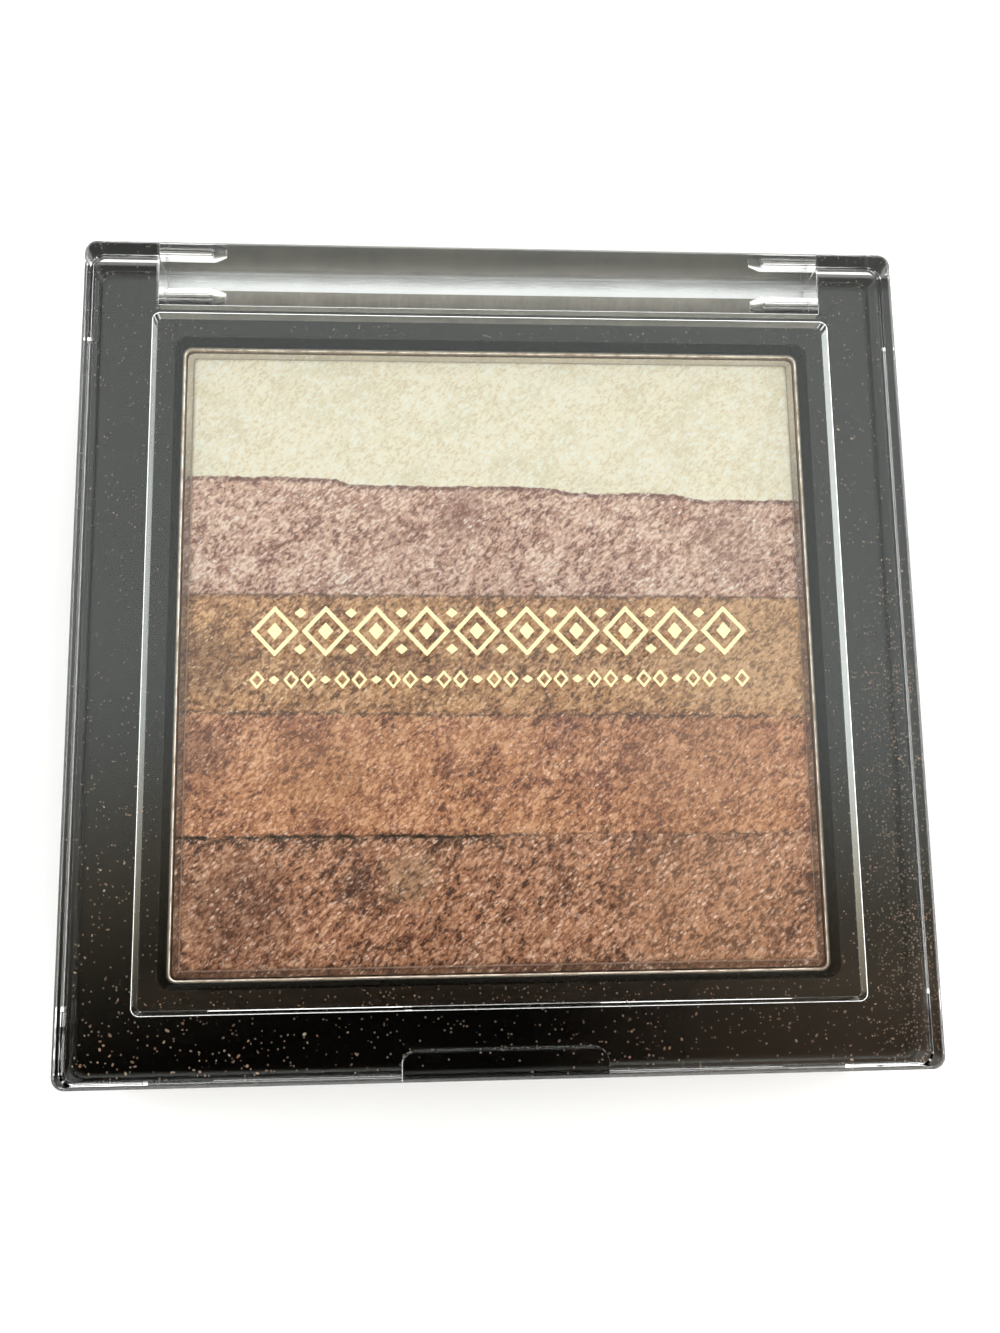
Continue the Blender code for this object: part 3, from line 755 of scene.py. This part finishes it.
def makeLid():
    past = 1.0 * mm    # how far cutting shapes reach beyond what they cut
    slab = block((lidLow.x, lidLow.y, lid["slabBottom"]), lidHigh,
                 corner=lid["caseCorner"], topEdge=lid["topEdge"], edgeSteps=8)
    foot = [e for e in slab.edges if all(abs(v.co.z - lid["slabBottom"]) < hair for v in e.verts)]
    bevelEdges(slab, foot, lid["footEdge"], 1)
    heel = lidHigh.y - hingeY
    leg = block((-lid["legHalfX"], hingeY - heel, lidLow.z),
                (lid["legHalfX"], lidHigh.y, lid["slabBottom"] + past))
    heelEdges = [e for e in leg.edges if all(abs(v.co.z - lidLow.z) < hair for v in e.verts)
                 and abs(e.verts[0].co.x - e.verts[1].co.x) > past]
    bevelEdges(leg, heelEdges, heel * 0.999, 20)    # just short of a full round, so its faces don't meet
    beadY = caseMiddleY - lid["pocketHalfY"]
    pocket = block((-lid["pocketHalfX"], beadY, lid["slabBottom"] - past),
                   (lid["pocketHalfX"], caseMiddleY + lid["pocketHalfY"], lid["pocketTop"]),
                   corner=lid["pocketCorner"], topEdge=lid["pocketEdge"])
    notch = block((-lid["notchHalfX"], lidLow.y - past, lid["slabBottom"] - past),
                  (lid["notchHalfX"], lidLow.y + lid["notchReach"], lid["notchTop"]),
                  corner=lid["notchCorner"])
    beadEnd = lid["beadHalfX"]
    bead = lathe([(-beadEnd, 0), (-beadEnd, lid["beadRadius"]), (beadEnd, lid["beadRadius"]), (beadEnd, 0)],
                 (0, beadY, lid["beadZ"]), 24)
    body = combined(slab, cuts=[pocket, notch])
    body = combined(body, joins=[leg, bead])
    bores = []
    for side in (-1, 1):
        end = side * lid["legHalfX"]
        tip = end - side * lid["boreReach"]
        straight = tip + side * lid["boreTipLength"]
        profile = [(end + side * past, 0), (end + side * past, lid["boreRadius"]),
                   (straight, lid["boreRadius"]), (tip, lid["boreTipRadius"]), (tip, 0)]
        bores.append(lathe(profile, (0, hingeY, hingeZ)))
    body = combined(body, cuts=bores)
    piece = addPiece("clearLid", body, clear, "lid", "clear_plastic", "clear_lid")
    for material in (dustyShadedHeel, paleHeel, black):
        piece.data.materials.append(material)
    pocketBack = caseMiddleY + lid["pocketHalfY"]
    legFront = hingeY - heel
    near = 2 * hair
    for face in piece.data.polygons:
        x, y, z = face.center
        isHeel = z < hingeZ and face.normal.z < -0.02 and abs(face.normal.x) < 0.5
        isWall = face.normal.y < -0.9 and min(abs(y - pocketBack), abs(y - legFront)) < near
        inNotch = (abs(x) < lid["notchHalfX"] + near
                   and lidLow.y + near < y < lidLow.y + lid["notchReach"] + near
                   and lid["slabBottom"] + near < z < lid["notchTop"] + near)
        # Notch faces right of notchClearTo take the black plastic: painted shade over the clear lid
        if inNotch and x > lid["notchClearTo"]:
            face.material_index = 3
        elif isHeel and y > hingeY + lid["paleFrom"]:
            face.material_index = 2
        # Other heel faces and the walls behind the pocket and in front of the leg take the dusty coat,
        # darkened as painted shade
        elif isHeel or isWall:
            face.material_index = 1
    softenEdges(piece, lid["softEdge"])


makeLid()
print("lid ready")


# Black base: the CAD moulding with its sharp edges softened

base = {"softEdge": 0.08 * mm, "sameVertex": 0.0005 * mm, "flatAngle": 0.5}


def makeBase():
    bm = bmesh.new()
    bm.from_mesh(frame["nodes"]["base_frame"].data)
    bmesh.ops.remove_doubles(bm, verts=bm.verts, dist=base["sameVertex"])
    bmesh.ops.dissolve_limit(bm, angle_limit=math.radians(base["flatAngle"]), verts=bm.verts, edges=bm.edges)
    piece = addPiece("blackBase", bm, black, "base", "black_plastic", "base_frame")
    softenEdges(piece, base["softEdge"], 2)


makeBase()
print("base ready")


# Metal pan with a rolled rim

pan = {"wall": 0.3 * mm, "corner": 0.8 * mm, "floorEdge": 0.4 * mm, "rimShare": 0.42}


def makePan():
    bm = block(panLow, panHigh, corner=pan["corner"], bottomEdge=pan["floorEdge"])
    top = [f for f in bm.faces if f.calc_center_median().z > panHigh.z - hair]
    bmesh.ops.delete(bm, geom=top, context="FACES_ONLY")
    bmesh.ops.recalc_face_normals(bm, faces=bm.faces)
    piece = addPiece("powderPan", bm, plain["panMetal"], "base", "aluminium", "powder_pan")
    wall = piece.modifiers.new("wall", "SOLIDIFY")
    wall.thickness = pan["wall"]
    wall.offset = -1.0
    wall.use_even_offset = True
    softenEdges(piece, pan["wall"] * pan["rimShare"], 4, 50)


makePan()
print("pan ready")


# Pressed powder: five bands with a ledge round the pan and a slightly raised crown

seamLine = {
    # Waves to a mm along a seam, with the quicker ones' share, and half the length of a step in mm
    "slow": 0.3,
    "quick": 0.9,
    "quickShare": 0.7,
    "ragged": 2.6,
    "height": 0.6,
    "stepReach": 1.1,
}


def smooth(value, low, high):
    t = min(max((value - low) / (high - low), 0.0), 1.0)
    return t * t * (3 - 2 * t)


def seamAt(seam, x):
    # The seam's Y at x, with a slow wander and short ragged steps
    u = x / mm
    y = seam["y"]
    wander = noise.noise(Vector((u * seamLine["slow"], y, 0)))
    wander += seamLine["quickShare"] * noise.noise(Vector((u * seamLine["quick"], y, 5)))
    ragged = noise.noise(Vector((u * seamLine["ragged"], y, 9)))
    reach = seamLine["stepReach"]
    drop = sum(fall * smooth(u, start - reach, start + reach) for start, fall in seam["steps"])
    height = seamLine["height"]
    return (y + seam["slope"] * u - drop + seam["wave"] * (height * wander + height * ragged)) * mm


def inside(x, y, inset, radius):
    # Distance inside the powder's rounded outline, shrunk by inset
    halfX = (powderHigh.x - powderLow.x) / 2 - inset - radius
    halfY = (powderHigh.y - powderLow.y) / 2 - inset - radius
    dx = abs(x) - halfX
    dy = abs(y - caseMiddleY) - halfY
    outside = math.hypot(max(dx, 0), max(dy, 0))
    return radius - outside - min(max(dx, dy), 0)


def powderHeight(x, y):
    depth = inside(x, y, powder["ledgeWidth"], powder["crownCorner"])
    rise = smooth(depth, -powder["crownEdge"] * 0.4, powder["crownEdge"])
    place = Vector((x / mm, y / mm, 0))
    grain = noise.noise(place * powder["grain"])
    grain += powder["fineShare"] * noise.noise(place * powder["fineGrain"])
    wave = noise.noise(place * powder["wave"])
    height = powderHigh.z - powder["crownRise"] * (1 - rise)
    height += grain * powder["grainDepth"] * (0.4 + 0.6 * rise) * 0.6
    height += wave * powder["waveDepth"] * rise
    for seam in seams:
        if seam["groove"]:
            gap = abs(y - seamAt(seam, x)) / mm
            fade = 0.55 + 0.45 * noise.noise(Vector((x / mm * powder["grooveFade"], seam["y"], 2)))
            if seam["front"] == "shade_bronze":
                fade *= 1.25 - smooth(x / mm, -4, 6)    # this seam closes up towards the right
            height -= seam["groove"] * mm * math.exp(-(gap / powder["grooveReach"]) ** 2) * max(fade, 0)
    return min(height, panHigh.z)


def makeBand(name, backEdge, frontEdge):
    lowX, highX = powderLow.x, powderHigh.x
    across = round((highX - lowX) / powder["cell"])
    along = round((backEdge(0) - frontEdge(0)) / powder["cell"])
    bm = bmesh.new()
    lay = bm.verts.layers.float_color.new("lay")
    bmesh.ops.create_grid(bm, x_segments=across, y_segments=along, size=0.5)
    radius = powder["cornerRadius"]
    for vert in bm.verts:
        x = lowX + (vert.co.x + 0.5) * (highX - lowX)
        y = frontEdge(x) + (vert.co.y + 0.5) * (backEdge(x) - frontEdge(x))
        # The pan's round corners pull the outline in
        for cornerY in (powderLow.y + radius, powderHigh.y - radius):
            beyond = (y - cornerY) * (1 if cornerY > 0 else -1)
            if beyond > 0:
                reach = highX - radius + math.sqrt(max(radius ** 2 - beyond ** 2, 0.0))
                x = max(min(x, reach), -reach)
        vert.co = (x, y, powderHeight(x, y))
        reaches = (backEdge(x) - y, y - frontEdge(x), inside(x, y, 0.0, radius))
        vert[lay] = (*[min(max(reach / layReach, 0.0), 1.0) for reach in reaches], 1.0)
    rim = [e for e in bm.edges if e.is_boundary]
    skirt = bmesh.ops.extrude_edge_only(bm, edges=rim)["geom"]
    for vert in (v for v in skirt if isinstance(v, bmesh.types.BMVert)):
        vert.co.z = powderLow.z
    bmesh.ops.contextual_create(bm, geom=[e for e in bm.edges if e.is_boundary])
    bmesh.ops.recalc_face_normals(bm, faces=bm.faces)
    piece = addPiece(name.replace("shade_", "") + "Shade", bm, powders[name], "base",
                     powderFinishes[name]["slot"], name)
    piece.data.set_sharp_from_angle(angle=math.radians(powder["sharpAngle"]))


def makePowders():
    def straight(y):
        return lambda x: y

    backEdge = straight(powderHigh.y)
    for seam in seams:
        frontEdge = lambda x, seam=seam: seamAt(seam, x)
        makeBand(seam["back"], backEdge, frontEdge)
        backEdge = frontEdge
    makeBand("shade_bronze", backEdge, straight(powderLow.y))


makePowders()
print("powder ready")


# Hinge pins with chamfered ends

pins = {"chamfer": 0.15 * mm, "steps": 32, "sharpAngle": 30}


def makePins():
    for sideName in ("left", "right"):
        name = "hinge_pin_" + sideName
        low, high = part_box(name)
        radius = (high.z - low.z) / 2
        chamfer = pins["chamfer"]
        profile = [(low.x, 0), (low.x, radius - chamfer), (low.x + chamfer, radius),
                   (high.x - chamfer, radius), (high.x, radius - chamfer), (high.x, 0)]
        bm = lathe(profile, (0, hingeY, hingeZ), pins["steps"])
        piece = addPiece(sideName + "Pin", bm, plain["pinSteel"], "base", "steel", name)
        piece.data.set_sharp_from_angle(angle=math.radians(pins["sharpAngle"]))


makePins()
print("pins ready")


# The CAD nodes that stay: cover, label and adhesive sheet

keptNodes = {
    "bottom_cover": black,
    "back_label": plain["labelFilm"],
    "pan_adhesive": plain["adhesiveSheet"],
}
for name, material in keptNodes.items():
    slots = frame["nodes"][name].data.materials
    slots.clear()
    slots.append(material)


# Plain gold ornament on the lid: a row of lozenges with leaves between, and a row of small lozenges under it

ornament = {
    "thickness": 0.012 * mm,
    "rowMiddleY": 0.75 * mm,
    "halfX": 19.1 * mm,
    "lozenges": 10,
    "lozengeTall": 1.95 * mm,
    "stroke": 0.3 * mm,
    "smallRowY": -2.98 * mm,
    "smallLozenges": 30,
    "smallTall": 0.7 * mm,
    "smallStroke": 0.17 * mm,
    # Half widths against the pitch, then half heights against the row's
    "lozenge": (0.47, 1.0),
    "heart": (0.15, 0.34),
    "leaf": (0.12, 0.2),
    "leafLift": 0.72,
    "smallLozenge": (0.46, 1.0),
    "smallHeart": (0.32, 0.45),
}


def addLozenge(bm, x, y, pitch, tall, shares, stroke=0.0):
    # A flat lozenge on the lid's top, or only its outline where a stroke is given
    halfX = pitch * shares[0]
    halfY = tall * shares[1]
    corners = [bm.verts.new((x + halfX * a, y + halfY * b, lidHigh.z))
               for a, b in ((1, 0), (0, 1), (-1, 0), (0, -1))]
    face = bm.faces.new(corners)
    face.normal_update()
    if stroke:
        bmesh.ops.inset_region(bm, faces=[face], thickness=stroke, use_boundary=True, use_even_offset=True)
        bmesh.ops.delete(bm, geom=[face], context="FACES_ONLY")


def makeOrnament():
    look = ornament
    bm = bmesh.new()
    y = look["rowMiddleY"]
    tall = look["lozengeTall"]
    pitch = 2 * look["halfX"] / look["lozenges"]
    for i in range(look["lozenges"]):
        x = -look["halfX"] + pitch * (i + 0.5)
        addLozenge(bm, x, y, pitch, tall, look["lozenge"], look["stroke"])
        addLozenge(bm, x, y, pitch, tall, look["heart"])
        if i:
            for lift in (-look["leafLift"], look["leafLift"]):
                addLozenge(bm, x - pitch / 2, y + lift * tall, pitch, tall, look["leaf"])
    y = look["smallRowY"]
    tall = look["smallTall"]
    pitch = 2 * look["halfX"] / look["smallLozenges"]
    for i in range(look["smallLozenges"]):
        x = -look["halfX"] + pitch * (i + 0.5)
        if i % 3 == 1:
            addLozenge(bm, x, y, pitch, tall, look["smallHeart"])
        else:
            addLozenge(bm, x, y, pitch, tall, look["smallLozenge"], look["smallStroke"])
    top = bmesh.ops.extrude_face_region(bm, geom=list(bm.faces))["geom"]
    bmesh.ops.translate(bm, verts=[v for v in top if isinstance(v, bmesh.types.BMVert)],
                        vec=(0, 0, look["thickness"]))
    bmesh.ops.recalc_face_normals(bm, faces=bm.faces)
    piece = addPiece("goldOrnament", bm, plain["goldFoil"], "lid", "label_film")
    piece.data.shade_flat()


makeOrnament()
print("ornament ready")


# Loose crumbs and flecks of powder that have crept out of the pan

crumbTints = {
    "cream": (0.62, 0.52, 0.38),
    "peach": (0.52, 0.33, 0.21),
    "copper": (0.32, 0.16, 0.085),
    "brown": (0.13, 0.065, 0.035),
}
crumbs = {
    "seed": 11,
    "clumped": 0.45,       # share of the crumbs that gather in clumps
    "clumpReach": 0.7,     # spread of a clump, in mm
    "sizes": (0.7, 1.15),
    "flatness": (0.3, 0.6),
    "lengths": (1.0, 2.0),
    "tilt": 0.3,
    "uneven": 0.12,
    "shades": (0.35, 1.15),
}
flangeZ = 6.85
plateauZ = 9.2
drifts = [
    # x from and to, y from and to, height, crumbs, clumps, least and greatest size, tints; lengths in mm
    (-32.0, -27.8, -31.8, -8.0, flangeZ, 60, 9, 0.03, 0.11, ("cream", "peach", "copper")),
    (-32.0, -14.0, -31.9, -28.0, flangeZ, 70, 8, 0.03, 0.12, ("peach", "copper", "cream")),
    (-32.0, -27.8, -8.0, 28.0, flangeZ, 22, 2, 0.03, 0.07, ("peach", "copper")),
    (-14.0, 32.0, -31.9, -28.0, flangeZ, 130, 12, 0.03, 0.1, ("peach", "copper", "brown")),
    (27.8, 32.0, -31.8, -2.0, flangeZ, 400, 16, 0.025, 0.08, ("copper", "brown", "peach")),
    (27.8, 32.0, -2.0, 28.0, flangeZ, 90, 5, 0.03, 0.08, ("cream", "peach", "copper")),
    (-27.0, 27.0, -27.1, -25.8, plateauZ, 150, 14, 0.02, 0.06, ("copper", "brown", "peach")),
    (-27.0, -25.8, -26.0, 26.4, plateauZ, 60, 6, 0.02, 0.06, ("copper", "peach", "brown")),
    (25.8, 27.0, -26.0, 26.4, plateauZ, 90, 8, 0.02, 0.06, ("copper", "peach", "cream")),
    (-27.0, 27.0, 25.4, 26.5, plateauZ, 36, 4, 0.02, 0.06, ("cream", "peach")),
]


def addCrumb(bm, tintLayer, x, y, z, size, tints):
    thick = size * random.uniform(*crumbs["flatness"])
    tilt = crumbs["tilt"]
    spin = Euler((random.uniform(-tilt, tilt), random.uniform(-tilt, tilt), random.uniform(0, math.tau)))
    place = Matrix.Translation((x, y, z + thick * 0.9)) @ spin.to_matrix().to_4x4()
    place = place @ Matrix.Diagonal((size * random.uniform(*crumbs["lengths"]), size, thick, 1.0))
    made = bmesh.ops.create_icosphere(bm, subdivisions=1, radius=1.0, matrix=place)["verts"]
    tint = crumbTints[random.choice(tints)]
    shade = random.uniform(*crumbs["shades"])
    uneven = crumbs["uneven"]
    for vert in made:
        vert.co += Vector([random.uniform(-uneven, uneven) * size for _ in range(3)])
        vert[tintLayer] = (*[part * shade for part in tint], 1.0)


def makeCrumbs():
    random.seed(crumbs["seed"])
    reach = crumbs["clumpReach"]
    bm = bmesh.new()
    tintLayer = bm.verts.layers.float_color.new("tint")
    for lowX, highX, lowY, highY, z, count, clumpCount, least, greatest, tints in drifts:
        clumps = [(random.uniform(lowX, highX), random.uniform(lowY, highY)) for _ in range(clumpCount)]
        for _ in range(count):
            x = random.uniform(lowX, highX)
            y = random.uniform(lowY, highY)
            if random.random() < crumbs["clumped"]:
                clumpX, clumpY = random.choice(clumps)
                x = min(max(random.gauss(clumpX, reach), lowX), highX)
                y = min(max(random.gauss(clumpY, reach), lowY), highY)
            size = random.uniform(least, greatest) * random.uniform(*crumbs["sizes"]) * mm
            addCrumb(bm, tintLayer, x * mm, y * mm, z * mm, size, tints)
    bmesh.ops.recalc_face_normals(bm, faces=bm.faces)
    piece = addPiece("looseCrumbs", bm, crumbPowder, "base", "copper_powder")
    piece.data.shade_flat()


makeCrumbs()
print("crumbs ready")


# Floor, light and camera

stage = {
    "floorSize": 1.6,
    "floorDrop": 0.02 * mm,
    "floorColour": (0.86, 0.86, 0.86, 1.0),
    "floorRoughness": 0.9,
}
light = {
    "back": 1.0,
    "front": 0.006,
    "side": 3.3,
    "frontSide": 0.85,
    "sideTilt": 0.2,                # how much brighter the right is than the left
    "warm": (1.0, 0.86, 0.62),
    "cool": (0.95, 1.0, 0.96),
    "wrap": 0.25,                   # how far the bright back reaches round the sides
    "backFrom": (-0.08, 0.26),
    "sideBelow": (0.88, 0.6),
    "sideFrom": (-0.45, -0.1),
    "coolFrom": (0.0, 0.2),
}
view = {
    "place": (-7.01, -18.877, 109.182),
    "turn": (9.878, -3.863, -0.882),
    "lens": 35.109,
    "sensor": 36.0,
    "nearest": 5 * mm,
}


def makeFloor():
    bm = bmesh.new()
    bmesh.ops.create_grid(bm, x_segments=1, y_segments=1, size=stage["floorSize"] / 2,
                          matrix=Matrix.Translation((0, 0, -stage["floorDrop"])))
    mesh = bpy.data.meshes.new("floor")
    bm.to_mesh(mesh)
    bm.free()
    floor = bpy.data.objects.new("floor", mesh)
    scene.collection.objects.link(floor)
    look = {"Base Color": stage["floorColour"], "Roughness": stage["floorRoughness"]}
    mesh.materials.append(newMaterial("paleFloor", look)[0])


def makeLight():
    # A soft tent: bright behind and round the sides, dim overhead towards the front
    world = bpy.data.worlds.new("softTent")
    scene.world = world
    world.use_nodes = True
    tree = world.node_tree
    toward = addNode(tree, "ShaderNodeTexCoord").outputs["Generated"]
    x, y, z = addNode(tree, "ShaderNodeSeparateXYZ", None, {0: toward}).outputs
    aside = maths(tree, "MULTIPLY", maths(tree, "ABSOLUTE", x), light["wrap"])
    away = maths(tree, "ADD", y, aside)
    behind = ramp(tree, away, *light["backFrom"], light["front"], light["back"])
    lean = maths(tree, "ADD", maths(tree, "MULTIPLY", x, light["sideTilt"]), 1.0)
    low = ramp(tree, z, *light["sideBelow"], 0.0, light["side"])
    low = maths(tree, "MULTIPLY", low, ramp(tree, y, *light["sideFrom"], light["frontSide"], 1.0))
    strength = maths(tree, "MULTIPLY", maths(tree, "MAXIMUM", behind, low), lean)
    tint = mixColour(tree, ramp(tree, away, *light["coolFrom"]), (*light["warm"], 1.0), (*light["cool"], 1.0))
    tint = mixColour(tree, ramp(tree, z, *light["sideBelow"]), tint, (1.0, 1.0, 1.0, 1.0))
    background = tree.nodes["Background"]
    tree.links.new(tint, background.inputs["Color"])
    tree.links.new(strength, background.inputs["Strength"])


def makeCamera():
    data = bpy.data.cameras.new("camera")
    data.lens = view["lens"]
    data.sensor_width = view["sensor"]
    data.clip_start = view["nearest"]
    camera = bpy.data.objects.new("camera", data)
    scene.collection.objects.link(camera)
    camera.location = [value * mm for value in view["place"]]
    camera.rotation_euler = [math.radians(value) for value in view["turn"]]
    scene.camera = camera


makeFloor()
makeLight()
makeCamera()
scene.view_settings.view_transform = "Standard"
print("stage ready")
